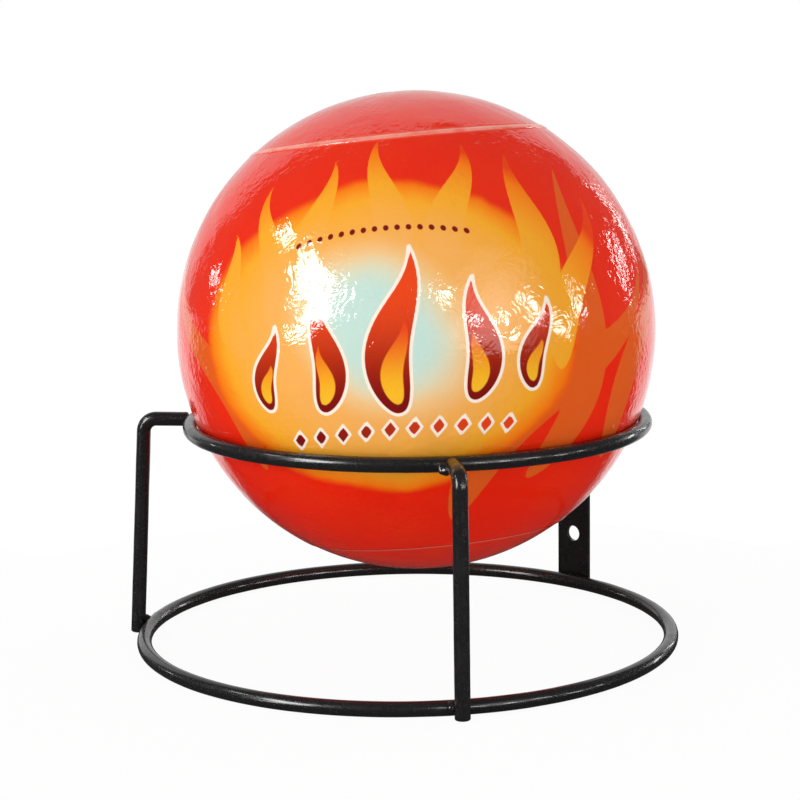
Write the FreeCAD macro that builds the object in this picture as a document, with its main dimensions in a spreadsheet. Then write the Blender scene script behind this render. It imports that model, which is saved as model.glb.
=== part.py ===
import FreeCAD, Part
import math
import os
import Sketcher
from FreeCAD import Rotation, Vector

# A fire extinguisher ball in its wire wall stand.
#
# The ball has two foam half shells that close on a lip. A tape covers their seam, and fuses in
# grooves run over the foam to both poles, where they meet the core fuse of the charge tube. Dry
# powder fills the shell, and printed and clear films cover it all.
#
# The stand has a base ring, a seat ring, two bent wire legs and a wall plate with two screw
# holes, welded together. The ball only rests on the seat ring.
#
# Frame: +Z up, origin on the floor in the middle of the base ring, wall face at +Y.

SIZES = [
    # Ball, from the films inwards
    ("ball_radius", 75.0, "outside of the printed sleeve"),
    ("sleeve_thickness", 0.4, "wall of the printed sleeve"),
    ("sleeve_top_angle", 37.0, "sleeve's upper edge, from the upper pole"),
    ("sleeve_bottom_angle", 32.7, "sleeve's lower edge, from the lower pole"),
    ("hem_width", 1.9, "folded hem at the sleeve's upper edge"),
    ("hem_rise", 0.15, "how far the hem stands out"),
    ("cap_film_thickness", 0.2, "clear films over the poles"),
    ("film_edge_gap", 0.1, "between the sleeve's edges and the clear films"),
    ("film_gap", 0.1, "between the films and the foam"),
    ("shell_wall", 6.2, "foam half shells"),
    ("lip_height", 4.0, "lip of the lower half shell"),
    ("lip_clearance", 0.1, "between the lip and its rebate"),
    ("tape_width", 22.0, "tape over the seam"),
    ("tape_thickness", 0.3, "tape over the seam"),
    ("tape_edge_gap", 0.2, "between the tape and the edges of its recess"),
    ("fuse_radius", 1.0, "fuses on the foam"),
    ("fuse_cover", 0.4, "depth of the fuses under the foam's surface"),
    ("fuse_clearance", 0.1, "between a fuse and its groove or hole"),
    ("fuse_end_gap", 0.3, "between the surface fuses and the core fuse"),
    ("core_fuse_radius", 1.2, "fuse from pole to pole"),
    ("powder_gap", 0.1, "between the powder and what holds it"),
    ("charge_tube_diameter", 22.0, "outside of the charge tube"),
    ("charge_tube_wall", 1.6, "wall of the charge tube"),
    ("charge_tube_length", 56.0, "charge tube without its plugs' heads"),
    ("plug_depth", 7.0, "part of a plug inside the tube"),
    ("plug_head", 1.5, "part of a plug outside the tube"),
    ("plug_clearance", 0.05, "between a plug and the tube's bore"),
    ("ball_tilt", 7.0, "lean of the ball's pole as it lies in the stand"),
    ("ball_tilt_towards", 174.0, "direction that the pole leans to"),
    # Stand
    ("wire_diameter", 4.6, "all round bars of the stand"),
    ("seat_angle", 68.0, "where the ball touches the seat ring, from the ball's lowest point"),
    ("base_spread", 12.4, "how much wider the base ring is than the seat ring, in radius"),
    ("seat_height", 70.6, "middle of the seat ring's bar above the floor"),
    ("seat_shift_x", 2.6, "seat ring off the base ring's middle"),
    ("seat_shift_y", 3.0, "seat ring off the base ring's middle"),
    ("seat_gap", 0.05, "between the ball and the seat ring"),
    ("weld_gap", 0.05, "between bars at a weld"),
    ("leg_bend_radius", 4.2, "middle of the bar at a leg's bend"),
    ("left_leg_angle", 214.3, "foot of the left leg round the base ring"),
    ("left_leg_lean", 3.5, "lean of the left leg towards the ball"),
    ("right_leg_angle", 322.1, "foot of the right leg round the base ring"),
    ("right_leg_lean", 0.5, "lean of the right leg towards the ball"),
    ("plate_width", 13.0, "wall plate"),
    ("plate_thickness", 1.2, "wall plate"),
    ("plate_bend_radius", 1.5, "inside of the wall plate's bend"),
    ("plate_overlap", 1.0, "wall plate's flange past the middle of the seat ring's bar"),
    ("screw_hole_diameter", 5.3, "screw holes of the wall plate"),
    ("lower_hole_height", 18.8, "lower screw hole above the floor"),
    ("upper_hole_drop", 14.45, "upper screw hole below the wall plate's flange"),
    # Weld beads
    ("bead_radius", 2.5, "weld beads beside the legs"),
    ("bead_drop", 1.0, "beads at the legs' tops, below the middle of the bar"),
]

WIRE = "Sizes.wire_diameter / 2"
FILM = "(Sizes.ball_radius - Sizes.sleeve_thickness)"
FOAM = f"({FILM} - Sizes.film_gap)"
INSIDE = f"({FOAM} - Sizes.shell_wall)"
MID_WALL = f"({FOAM} - Sizes.shell_wall / 2)"
POWDER = f"({INSIDE} - Sizes.powder_gap)"
TAPED = f"({FOAM} - Sizes.tape_thickness)"
FUSE_PATH = f"({FOAM} - Sizes.fuse_cover - Sizes.fuse_radius)"
GROOVE = "(Sizes.fuse_radius + Sizes.fuse_clearance)"
FUSE_HOLE = "(Sizes.core_fuse_radius + Sizes.fuse_clearance)"
FUSE_END = "(Sizes.core_fuse_radius + Sizes.fuse_end_gap)"
TUBE_RADIUS = "(Sizes.charge_tube_diameter / 2)"
TUBE_BORE = f"({TUBE_RADIUS} - Sizes.charge_tube_wall)"
TUBE_END = "(Sizes.charge_tube_length / 2)"
PLUG_FACE = f"({TUBE_END} - Sizes.plug_depth)"
PLUG_TOP = f"({TUBE_END} + Sizes.plug_head)"
SEAT_REACH = "(Sizes.ball_radius + Sizes.seat_gap + Sizes.wire_diameter / 2)"
SEAT_RING = f"({SEAT_REACH} * sin(Sizes.seat_angle))"
BASE_RING = f"({SEAT_RING} + Sizes.base_spread)"
BALL_HEIGHT = f"(Sizes.seat_height + {SEAT_REACH} * cos(Sizes.seat_angle))"
BALL_PLACE = (
    f"placement(vector(Sizes.seat_shift_x; Sizes.seat_shift_y; {BALL_HEIGHT});"
    " rotation(vector(-sin(Sizes.ball_tilt_towards); cos(Sizes.ball_tilt_towards); 0);"
    " Sizes.ball_tilt))"
)
SEAT_OUTSIDE = f"({SEAT_RING} + {WIRE})"
BASE_OUTSIDE = f"({BASE_RING} + {WIRE})"
FOOT_RADIUS = f"({BASE_RING} + Sizes.wire_diameter + Sizes.weld_gap)"
PLATE_INNER = f"({BASE_OUTSIDE} + Sizes.weld_gap)"
PLATE_OUTER = f"({PLATE_INNER} + Sizes.plate_thickness)"
FLANGE_TOP = "(Sizes.seat_height - Sizes.wire_diameter / 2 - Sizes.weld_gap)"
FLANGE_END = f"(Sizes.seat_shift_y + {SEAT_RING} - Sizes.plate_overlap)"

doc = FreeCAD.newDocument("FireExtinguisherBall")
sheet = doc.addObject("Spreadsheet::Sheet", "Sizes")
for row, (name, number, note) in enumerate(SIZES, start=1):
    sheet.set(f"A{row}", note)
    sheet.set(f"B{row}", str(number))
    sheet.setAlias(f"B{row}", name)
doc.recompute()


def value(expression):
    """The number that an expression on the sheet gives now."""
    return float(sheet.evalExpression(expression))


def new_body(name, place=None):
    """A body with a label, placed by an expression if one is given."""
    body = doc.addObject("PartDesign::Body", name + "_body")
    body.Label = name
    if place:
        body.setExpression("Placement", place)
    return body


def new_sketch(body, role, name):
    """A sketch on one of a body's own origin planes."""
    sketch = body.newObject("Sketcher::SketchObject", f"{body.Label}_{name}")
    sketch.AttachmentSupport = [(plane_of(body, role), "")]
    sketch.MapMode = "FlatFace"
    return sketch


def plane_of(body, role):
    return next(part for part in body.Origin.OriginFeatures if part.Role == role)


def bind(sketch, constraint, name, expression):
    """Add a dimension and bind it to an expression."""
    index = sketch.addConstraint(constraint)
    sketch.renameConstraint(index, name)
    sketch.setExpression(f"Constraints.{name}", expression)


def hold_point(sketch, name, geometry, end, x, y):
    """Fix a point of a sketch. A coordinate of None stays free, and one of "0" is on an axis."""
    for axis, kind, expression in ((-2, "DistanceX", x), (-1, "DistanceY", y)):
        if expression == "0":
            sketch.addConstraint(Sketcher.Constraint("PointOnObject", geometry, end, axis))
        elif expression is not None:
            rule = Sketcher.Constraint(kind, -1, 1, geometry, end, value(expression))
            bind(sketch, rule, f"{name}_{kind[-1].lower()}", expression)


def draw_outline(sketch, corners):
    """Draw a closed outline from corners (name, x, y, radius).

    With a radius, the edge that leaves the corner is an arc about the origin, and the next
    corner lies on it, so only the smaller of that corner's two coordinates is fixed.
    """
    points = [Vector(value(x), value(y), 0) for _, x, y, _ in corners]
    count = len(corners)
    for index, (name, x, y, radius) in enumerate(corners):
        start, end = points[index], points[(index + 1) % count]
        if radius is None:
            sketch.addGeometry(Part.LineSegment(start, end))
            continue
        turns_left = start.x * end.y - start.y * end.x > 0
        first, last = (start, end) if turns_left else (end, start)
        circle = Part.Circle(Vector(0, 0, 0), Vector(0, 0, 1), value(radius))
        angles = [math.atan2(point.y, point.x) for point in (first, last)]
        sketch.addGeometry(Part.ArcOfCircle(circle, *angles))
        sketch.addConstraint(Sketcher.Constraint("Coincident", index, 3, -1, 1))

    def ends(index):
        """The numbers of an edge's first and last point along the outline."""
        start, end = points[index], points[(index + 1) % count]
        backwards = corners[index][3] and start.x * end.y - start.y * end.x < 0
        return (2, 1) if backwards else (1, 2)

    for index in range(count):
        following = (index + 1) % count
        joint = (index, ends(index)[1], following, ends(following)[0])
        sketch.addConstraint(Sketcher.Constraint("Coincident", *joint))
    for index, (name, x, y, _) in enumerate(corners):
        if corners[index - 1][3]:
            on_x = abs(points[index].x) < abs(points[index].y)
            x, y = (x, None) if on_x else (None, y)
        hold_point(sketch, name, index, ends(index)[0], x, y)


def revolved(name, corners):
    """A piece of the ball, turned about the ball's axis from an outline in its XZ plane."""
    body = new_body(name, BALL_PLACE)
    sketch = new_sketch(body, "XZ_Plane", "section")
    draw_outline(sketch, corners)
    turn = body.newObject("PartDesign::Revolution", name + "_turn")
    turn.Profile = sketch
    turn.ReferenceAxis = (sketch, ["V_Axis"])
    turn.Angle = 360
    return body


def on_sphere(radius, height):
    """Distance from the axis at a height on a sphere, as an expression."""
    return f"sqrt({radius} ^ 2 - ({height}) ^ 2)"


def polar(name, radius, angle, side, arc):
    """A corner at an angle from the upper (side 1) or lower (side -1) pole."""
    return (name, f"{radius} * sin({angle})", f"{side} * {radius} * cos({angle})", arc)


def turned_sketch(body, name, turn):
    """A sketch on a body's XY plane, turned about Z."""
    sketch = new_sketch(body, "XY_Plane", name)
    sketch.AttachmentOffset = FreeCAD.Placement(Vector(0, 0, 0), Rotation(Vector(0, 0, 1), turn))
    return sketch


def cut_fuse_groove(body, name, turn):
    """Cut a groove with a round bottom round the ball, through both poles."""
    sketch = turned_sketch(body, name + "_section", turn)
    path, half, far = value(FUSE_PATH), value(GROOVE), value("Sizes.ball_radius")
    circle = Part.Circle(Vector(path, 0, 0), Vector(0, 0, 1), half)
    sketch.addGeometry([
        Part.ArcOfCircle(circle, math.pi / 2, 3 * math.pi / 2),
        Part.LineSegment(Vector(path, -half, 0), Vector(far, -half, 0)),
        Part.LineSegment(Vector(far, -half, 0), Vector(far, half, 0)),
        Part.LineSegment(Vector(far, half, 0), Vector(path, half, 0)),
    ])
    for rule in (
        ("PointOnObject", 0, 3, -1),
        ("Tangent", 0, 2, 1, 1),
        ("Coincident", 1, 2, 2, 1),
        ("Coincident", 2, 2, 3, 1),
        ("Tangent", 3, 2, 0, 1),
        ("Horizontal", 1),
        ("Horizontal", 3),
        ("Vertical", 2),
    ):
        sketch.addConstraint(Sketcher.Constraint(*rule))
    reach = Sketcher.Constraint("DistanceX", -1, 1, 0, 3, path)
    bind(sketch, reach, "path_radius", FUSE_PATH)
    bind(sketch, Sketcher.Constraint("Radius", 0, half), "half_width", GROOVE)
    edge = Sketcher.Constraint("DistanceX", -1, 1, 2, 1, far)
    bind(sketch, edge, "outside", "Sizes.ball_radius")
    groove = body.newObject("PartDesign::Groove", name)
    groove.Profile = sketch
    groove.ReferenceAxis = (sketch, ["V_Axis"])
    groove.Angle = 360


def half_shell(name, side, lip_radius, lip_top):
    """A foam half shell, upper (side 1) or lower (side -1), with a lip or a rebate for it."""
    tape_edge = f"{side} * Sizes.tape_width / 2"
    body = revolved(name, [
        ("pole", FUSE_HOLE, f"{side} * " + on_sphere(FOAM, FUSE_HOLE), FOAM),
        ("tape_edge", on_sphere(FOAM, tape_edge), tape_edge, None),
        ("recess", on_sphere(TAPED, tape_edge), tape_edge, TAPED),
        ("rim", TAPED, "0", None),
        ("lip_root", lip_radius, "0", None),
        ("lip_outer", lip_radius, lip_top, None),
        ("lip_inner", on_sphere(INSIDE, lip_top), lip_top, INSIDE),
        ("inner_pole", FUSE_HOLE, f"{side} * " + on_sphere(INSIDE, FUSE_HOLE), None),
    ])
    for groove, turn in (("front_groove", 90), ("side_groove", 0)):
        cut_fuse_groove(body, f"{name}_{groove}", turn)
    return body


def foam_shell():
    half_gap = "Sizes.lip_clearance / 2"
    lower = half_shell("shell_lower", -1, f"({MID_WALL} - {half_gap})", "Sizes.lip_height")
    rebate = "(Sizes.lip_height + Sizes.lip_clearance)"
    upper = half_shell("shell_upper", 1, f"({MID_WALL} + {half_gap})", rebate)
    edge = "(Sizes.tape_width / 2 - Sizes.tape_edge_gap)"
    tape = revolved("seam_tape", [
        ("outer_low", on_sphere(FOAM, edge), f"-{edge}", FOAM),
        ("outer_high", on_sphere(FOAM, edge), edge, None),
        ("inner_high", on_sphere(TAPED, edge), edge, TAPED),
        ("inner_low", on_sphere(TAPED, edge), f"-{edge}", None),
    ])
    return [lower, upper, tape]


def surface_fuse(name, turn):
    """A fuse in its groove, from near one pole to near the other."""
    body = new_body(name, BALL_PLACE)
    sketch = turned_sketch(body, "section", turn)
    path, radius = value(FUSE_PATH), value("Sizes.fuse_radius")
    sketch.addGeometry(Part.Circle(Vector(path, 0, 0), Vector(0, 0, 1), radius))
    sketch.addConstraint(Sketcher.Constraint("PointOnObject", 0, 3, -1))
    reach = Sketcher.Constraint("DistanceX", -1, 1, 0, 3, path)
    bind(sketch, reach, "path_radius", FUSE_PATH)
    bind(sketch, Sketcher.Constraint("Radius", 0, radius), "fuse_size", "Sizes.fuse_radius")
    turned = body.newObject("PartDesign::Revolution", name + "_turn")
    turned.Profile = sketch
    turned.ReferenceAxis = (sketch, ["V_Axis"])
    turned.Midplane = True
    turned.setExpression("Angle", f"2 * acos({FUSE_END} / {FUSE_PATH})")
    return body


def fuses():
    sides = ("right", "back", "left", "front")
    strands = [surface_fuse(f"surface_fuse_{side}", 90 * step) for step, side in enumerate(sides)]
    top = f"({FUSE_PATH} + Sizes.fuse_radius)"
    core = revolved("core_fuse", [
        ("low_middle", "0", f"-{top}", None),
        ("low_rim", "Sizes.core_fuse_radius", f"-{top}", None),
        ("high_rim", "Sizes.core_fuse_radius", top, None),
        ("high_middle", "0", top, None),
    ])
    return strands + [core]


def charge():
    """The charge in the middle of the ball: a tube, its two plugs and the powder in it."""
    tube = revolved("charge_tube", [
        ("outer_low", TUBE_RADIUS, f"-{TUBE_END}", None),
        ("outer_high", TUBE_RADIUS, TUBE_END, None),
        ("inner_high", TUBE_BORE, TUBE_END, None),
        ("inner_low", TUBE_BORE, f"-{TUBE_END}", None),
    ])
    spigot = f"({TUBE_BORE} - Sizes.plug_clearance)"
    plugs = [
        revolved(f"charge_plug_{name}", [
            ("inner_face", FUSE_HOLE, f"{side} * {PLUG_FACE}", None),
            ("spigot_face", spigot, f"{side} * {PLUG_FACE}", None),
            ("spigot_root", spigot, f"{side} * {TUBE_END}", None),
            ("head_seat", TUBE_RADIUS, f"{side} * {TUBE_END}", None),
            ("head_rim", TUBE_RADIUS, f"{side} * {PLUG_TOP}", None),
            ("outer_face", FUSE_HOLE, f"{side} * {PLUG_TOP}", None),
        ])
        for name, side in (("upper", 1), ("lower", -1))
    ]
    wall = f"({TUBE_BORE} - Sizes.powder_gap)"
    end = f"({PLUG_FACE} - Sizes.powder_gap)"
    powder = revolved("charge_powder", [
        ("inner_low", FUSE_HOLE, f"-{end}", None),
        ("outer_low", wall, f"-{end}", None),
        ("outer_high", wall, end, None),
        ("inner_high", FUSE_HOLE, end, None),
    ])
    return [tube, *plugs, powder]


def powder_fill():
    """The dry powder round the charge, which fills the foam shell."""
    hole = f"({TUBE_RADIUS} + Sizes.powder_gap)"
    end = f"({PLUG_TOP} + Sizes.powder_gap)"
    return [revolved("powder_fill", [
        ("low_pole", FUSE_HOLE, f"-{on_sphere(POWDER, FUSE_HOLE)}", POWDER),
        ("high_pole", FUSE_HOLE, on_sphere(POWDER, FUSE_HOLE), None),
        ("high_neck", FUSE_HOLE, end, None),
        ("high_seat", hole, end, None),
        ("low_seat", hole, f"-{end}", None),
        ("low_neck", FUSE_HOLE, f"-{end}", None),
    ])]


def films():
    """The printed sleeve with its hem, and the clear film over each pole."""
    hem = "(Sizes.ball_radius + Sizes.hem_rise)"
    to_degrees = "180 / pi"
    hem_angle = f"(Sizes.sleeve_top_angle + Sizes.hem_width / Sizes.ball_radius * {to_degrees})"
    sleeve = revolved("printed_sleeve", [
        polar("lower_edge", "Sizes.ball_radius", "Sizes.sleeve_bottom_angle", -1,
              "Sizes.ball_radius"),
        polar("hem_root", "Sizes.ball_radius", hem_angle, 1, None),
        polar("hem_fold", hem, hem_angle, 1, hem),
        polar("hem_edge", hem, "Sizes.sleeve_top_angle", 1, None),
        polar("inner_edge", FILM, "Sizes.sleeve_top_angle", 1, FILM),
        polar("inner_low", FILM, "Sizes.sleeve_bottom_angle", -1, None),
    ])
    outside = f"({FILM} + Sizes.cap_film_thickness)"
    gap = f"Sizes.film_edge_gap / Sizes.ball_radius * {to_degrees}"
    caps = [
        revolved(f"{name}_cap_film", [
            ("inner_pole", "0", f"{side} * {FILM}", FILM),
            polar("inner_edge", FILM, f"(Sizes.{edge} - {gap})", side, None),
            polar("outer_edge", outside, f"(Sizes.{edge} - {gap})", side, outside),
            ("outer_pole", "0", f"{side} * {outside}", None),
        ])
        for name, side, edge in (
            ("top", 1, "sleeve_top_angle"),
            ("bottom", -1, "sleeve_bottom_angle"),
        )
    ]
    return [sleeve, *caps]


def ring(name, radius, place):
    """A closed ring of the stand's bar."""
    torus = doc.addObject("Part::Torus", name + "_torus")
    torus.Label = name
    torus.setExpression("Radius1", radius)
    torus.setExpression("Radius2", WIRE)
    torus.setExpression("Placement", f"placement(vector({place}); rotation(vector(0; 0; 1); 0))")
    return torus


def rings():
    middle = "Sizes.seat_shift_x; Sizes.seat_shift_y; Sizes.seat_height"
    return [
        ring("base_ring", BASE_RING, f"0; 0; {WIRE}"),
        ring("seat_ring", SEAT_RING, middle),
    ]


def leg_frame(side):
    """Where a leg stands: its distance from the seat ring's middle, and its placement.

    In the leg's own frame X points outwards from the seat ring's middle through the foot.
    """
    out_x = f"({FOOT_RADIUS} * cos(Sizes.{side}_leg_angle) - Sizes.seat_shift_x)"
    out_y = f"({FOOT_RADIUS} * sin(Sizes.{side}_leg_angle) - Sizes.seat_shift_y)"
    distance = f"sqrt({out_x} ^ 2 + {out_y} ^ 2)"
    place = (
        "placement(vector(Sizes.seat_shift_x; Sizes.seat_shift_y; 0);"
        f" rotation(vector(0; 0; 1); atan2({out_y}; {out_x})))"
    )
    return distance, place


def leg(side):
    """A leg bent from the stand's bar: up beside the base ring, then in to the seat ring."""
    distance, place = leg_frame(side)
    lean = f"tan(Sizes.{side}_leg_lean)"
    foot = f"({distance} + {WIRE} * {lean})"
    body = new_body(f"{side}_leg", place)
    path = new_sketch(body, "XZ_Plane", "path")
    foot_x, top = value(foot), value("Sizes.seat_height")
    end_x, bend = value(f"{SEAT_OUTSIDE} + Sizes.weld_gap"), value("Sizes.leg_bend_radius")
    rise_x = foot_x - (top - bend) * value(lean)
    middle = Part.Circle(Vector(rise_x - bend, top - bend, 0), Vector(0, 0, 1), bend)
    path.addGeometry([
        Part.LineSegment(Vector(foot_x, 0, 0), Vector(rise_x, top - bend, 0)),
        Part.ArcOfCircle(middle, 0, math.pi / 2),
        Part.LineSegment(Vector(rise_x - bend, top, 0), Vector(end_x, top, 0)),
    ])
    for rule in (("Tangent", 0, 2, 1, 1), ("Tangent", 1, 2, 2, 1), ("Horizontal", 2)):
        path.addConstraint(Sketcher.Constraint(*rule))
    hold_point(path, "foot", 0, 1, foot, "0")
    hold_point(path, "end", 2, 2, f"({SEAT_OUTSIDE} + Sizes.weld_gap)", "Sizes.seat_height")
    bind(path, Sketcher.Constraint("Radius", 1, bend), "bend", "Sizes.leg_bend_radius")
    upright = Sketcher.Constraint("Angle", -1, 1, 0, 1, math.pi / 2)
    bind(path, upright, "upright", f"90 + Sizes.{side}_leg_lean")
    section = new_sketch(body, "XY_Plane", "section")
    section.addGeometry(Part.Circle(Vector(foot_x, 0, 0), Vector(0, 0, 1), value(WIRE)))
    hold_point(section, "middle", 0, 3, foot, "0")
    bind(section, Sketcher.Constraint("Radius", 0, value(WIRE)), "bar_size", WIRE)
    pipe = body.newObject("PartDesign::AdditivePipe", f"{side}_leg_pipe")
    pipe.Profile = section
    pipe.Spine = (path, [])
    return body


def wall_plate():
    """A strip behind the base ring, bent in under the seat ring, with two screw holes."""
    body = new_body("wall_plate")
    profile = new_sketch(body, "YZ_Plane", "profile")
    flange_low = f"({FLANGE_TOP} - Sizes.plate_thickness)"
    draw_outline(profile, [
        ("inner_foot", PLATE_INNER, "0", None),
        ("outer_foot", PLATE_OUTER, "0", None),
        ("outer_bend", PLATE_OUTER, FLANGE_TOP, None),
        ("flange_top", FLANGE_END, FLANGE_TOP, None),
        ("flange_low", FLANGE_END, flange_low, None),
        ("inner_bend", PLATE_INNER, flange_low, None),
    ])
    strip = body.newObject("PartDesign::Pad", "plate_strip")
    strip.Profile = profile
    strip.Midplane = True
    strip.setExpression("Length", "Sizes.plate_width")
    doc.recompute()
    bends = (
        ("inner", PLATE_INNER, flange_low, "Sizes.plate_bend_radius"),
        ("outer", PLATE_OUTER, FLANGE_TOP, "Sizes.plate_bend_radius + Sizes.plate_thickness"),
    )
    bent = strip
    for name, y, z, radius in bends:
        edge = edge_at(bent.Shape, value(y), value(z))
        fillet = body.newObject("PartDesign::Fillet", f"plate_{name}_bend")
        fillet.Base = (bent, [edge])
        fillet.setExpression("Radius", radius)
        bent = fillet
        doc.recompute()
    holes = new_sketch(body, "XZ_Plane", "holes")
    radius = value("Sizes.screw_hole_diameter / 2")
    heights = ("Sizes.lower_hole_height", f"{FLANGE_TOP} - Sizes.upper_hole_drop")
    for index, height in enumerate(heights):
        holes.addGeometry(Part.Circle(Vector(0, value(height), 0), Vector(0, 0, 1), radius))
        hold_point(holes, f"hole{index}", index, 3, "0", height)
        rule = Sketcher.Constraint("Radius", index, radius)
        bind(holes, rule, f"hole_size{index}", "Sizes.screw_hole_diameter / 2")
    drill = body.newObject("PartDesign::Pocket", "screw_holes")
    drill.Profile = holes
    drill.Type = "ThroughAll"
    drill.Reversed = False
    body.Tip = drill
    return body


def edge_at(shape, y, z):
    """Name of the straight edge along X that runs through a point of the YZ plane."""
    for index, edge in enumerate(shape.Edges, start=1):
        middle = edge.CenterOfMass
        if math.hypot(middle.y - y, middle.z - z) < 0.001:
            return f"Edge{index}"
    raise RuntimeError(f"no edge at y {y}, z {z}")


def weld_bead(name, middle, place, bars):
    """A bead of weld metal, cut to lie against the two bars that it joins."""
    bead = doc.addObject("Part::Sphere", name + "_blob")
    bead.setExpression("Radius", "Sizes.bead_radius")
    here = f"placement(vector({'; '.join(middle)}); rotation(vector(0; 0; 1); 0))"
    bead.setExpression("Placement", f"{place} * {here}")
    for step, bar in enumerate(bars):
        cut = doc.addObject("Part::Cut", f"{name}_cut{step}")
        cut.Base = bead
        cut.Tool = bar
        bead = cut
    bead.Label = name
    return bead


def welds(side, bar, base_ring, seat_ring):
    """The beads at a leg's top and foot, on its left seen from outside."""
    distance, place = leg_frame(side)
    beside = f"-{WIRE}"
    top = (SEAT_OUTSIDE, beside, "Sizes.seat_height - Sizes.bead_drop")
    foot = (f"{distance} - {WIRE}", beside, "Sizes.wire_diameter - Sizes.bead_radius / 2")
    return [
        weld_bead(f"{side}_leg_top_weld", top, place, (seat_ring, bar)),
        weld_bead(f"{side}_leg_foot_weld", foot, place, (base_ring, bar)),
    ]


def stand():
    base_ring, seat_ring = rings()
    pieces = [base_ring, seat_ring]
    for side in ("left", "right"):
        bar = leg(side)
        pieces += [bar, *welds(side, bar, base_ring, seat_ring)]
    return [*pieces, wall_plate()]


def main():
    pieces = [*foam_shell(), *fuses(), *charge(), *powder_fill(), *films(), *stand()]
    doc.recompute()
    failed = [part.Label for part in doc.Objects if {"Invalid", "Error"} & set(part.State)]
    if failed:
        raise RuntimeError(f"failed objects: {failed}")
    os.makedirs("parts", exist_ok=True)
    for piece in pieces:
        shape = piece.Shape
        if shape.isNull() or not shape.isValid() or len(shape.Solids) != 1:
            raise RuntimeError(f"{piece.Label} is not one valid solid")
        shape.exportStep(f"parts/{piece.Label}.step")
        print(f"{piece.Label:24} {shape.Volume:12.2f} mm3")


main()
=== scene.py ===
"""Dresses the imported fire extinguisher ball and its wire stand.

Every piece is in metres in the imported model's frame: +Z up, the floor at 0, the wall side at +Y.
"""
import math

import bpy
import numpy as np
from bpy.props import FloatProperty, FloatVectorProperty, PointerProperty
from bpy.types import Operator, Panel, PropertyGroup
from mathutils import Matrix, Vector


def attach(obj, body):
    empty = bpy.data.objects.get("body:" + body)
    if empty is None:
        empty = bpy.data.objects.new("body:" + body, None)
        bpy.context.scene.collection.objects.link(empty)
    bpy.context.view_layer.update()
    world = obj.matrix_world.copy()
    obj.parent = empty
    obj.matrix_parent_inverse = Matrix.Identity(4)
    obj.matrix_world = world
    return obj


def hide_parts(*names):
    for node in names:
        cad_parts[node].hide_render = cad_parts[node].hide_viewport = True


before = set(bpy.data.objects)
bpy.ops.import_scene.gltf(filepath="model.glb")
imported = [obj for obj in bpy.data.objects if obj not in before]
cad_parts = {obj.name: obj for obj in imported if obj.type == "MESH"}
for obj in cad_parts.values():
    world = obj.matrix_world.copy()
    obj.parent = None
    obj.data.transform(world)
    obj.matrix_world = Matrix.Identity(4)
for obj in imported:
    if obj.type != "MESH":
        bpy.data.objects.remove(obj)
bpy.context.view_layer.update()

bl_info = {
    "name": "Fire extinguisher ball",
    "version": (1, 0, 0),
    "blender": (4, 5, 0),
    "location": "3D View > Sidebar > Ball",
    "description": "Printed film, wire stand and plain studio for a fire extinguisher ball",
    "category": "Object",
}

MM = 0.001

# What the dressed surfaces have beyond the solids, in metres
CREASE_DEPTH = 0.00012
POLE_DIP = 0.00004
JOINT_RISE = 0.00016
JOINT_WIDTH = 0.0008
END_ROUNDING = 0.0004
FLOOR_DROP = 0.0002

# The camera, turned about Z from a view along +Y
CAMERA_TURN = math.radians(42.2)
CAMERA_YAW = math.radians(-0.1135)
CAMERA_PITCH = math.radians(9.577)
CAMERA_ROLL = math.radians(0.818)
CAMERA_AT = (0.47275, -0.52137, 0.19620)


def tint(red, green, blue):
    """A screen colour, 0 to 255, as the linear colour that a shader takes."""
    parts = (channel / 255 for channel in (red, green, blue))
    return tuple(c / 12.92 if c <= 0.04045 else ((c + 0.055) / 1.055) ** 2.4 for c in parts)


def length(name, note, default):
    return FloatProperty(name=name, description=note, default=default, unit="LENGTH", precision=5)


def colour(name, note, default):
    return FloatVectorProperty(
        name=name, description=note, default=tint(*default), subtype="COLOR", min=0, max=1)


def amount(name, note, default):
    return FloatProperty(name=name, description=note, default=default, min=0, max=50)


def angle(name, note, default):
    return FloatProperty(
        name=name, description=note, default=math.radians(default), unit="ROTATION")


class BallSizes(PropertyGroup):
    radius: length("Radius", "Outside of the printed sleeve", 0.075)
    sleeve_wall: length("Sleeve wall", "Thickness of the printed sleeve", 0.0004)
    cap_wall: length("Cap wall", "Thickness of the films over the poles", 0.0002)
    top_edge: angle("Upper edge", "Sleeve's upper edge, from the upper pole", 37.0)
    bottom_edge: angle("Lower edge", "Sleeve's lower edge, from the lower pole", 32.7)
    edge_gap: length("Edge gap", "Between the sleeve's edges and the cap films", 0.0001)
    hem_width: length("Hem width", "Folded hem at the sleeve's upper edge", 0.0019)
    hem_rise: length("Hem rise", "How far the hem stands out", 0.00015)
    centre_x: length("Centre X", "Ball's middle", 0.0026)
    centre_y: length("Centre Y", "Ball's middle", 0.003)
    centre_z: length("Centre Z", "Ball's middle above the floor", 0.0995756)
    tilt: angle("Tilt", "Lean of the ball's pole", 7.0)
    tilt_towards: angle("Tilt towards", "Direction that the pole leans to", 174.0)
    print_turn: angle("Print turn", "Direction that the middle of the print faces", -54.0)
    dent_depth: length("Dent depth", "Deepest shallow dents of the film", 0.00016)


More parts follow.
